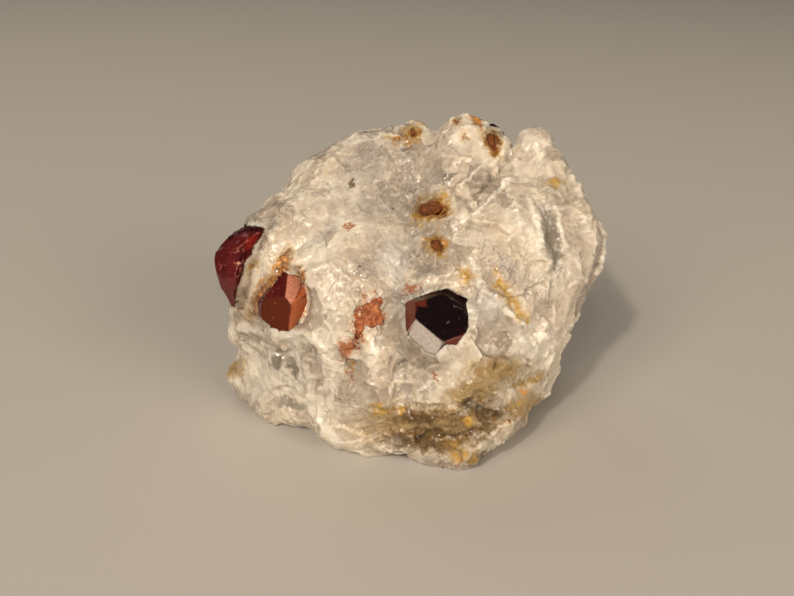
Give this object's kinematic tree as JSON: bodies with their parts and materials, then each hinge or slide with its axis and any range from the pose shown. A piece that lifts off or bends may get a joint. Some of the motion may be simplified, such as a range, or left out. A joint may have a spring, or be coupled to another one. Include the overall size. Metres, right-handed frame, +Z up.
{
  "type": "garnet in matrix",
  "caption": "Hand specimen of white quartz and feldspar with dark red, orange and rust-coloured garnet crystals grown into it, resting on its flat underside.",
  "frame": {"origin": "middle of the bounding box in plan, on the plane that the specimen rests on", "axes": "+Z up, +X along the longest side, -Y towards the viewer of the side with the garnets"},
  "size_m": [0.045, 0.036, 0.0341],
  "materials": {
    "milky_quartz": "milky quartz and feldspar, broken and sparkling, stained ochre in places",
    "garnet_dark": "glassy, near black with a purple and red glow",
    "garnet_red": "glassy deep red",
    "garnet_orange": "glassy orange red, see-through at its edges",
    "garnet_crushed": "crumbly brick red",
    "garnet_rust": "dull rust red"
  },
  "bodies": {
    "root": {"matrix": "milky_quartz", "garnet_dark": "garnet_dark", "garnet_left": "garnet_red", "garnet_orange": "garnet_orange", "garnet_broken": "garnet_crushed", "garnet_bead": "garnet_rust", "garnet_upper": "garnet_rust", "garnet_pit": "garnet_rust", "garnet_crest": "garnet_rust", "garnet_back": "garnet_dark"}
  },
  "joints": []
}
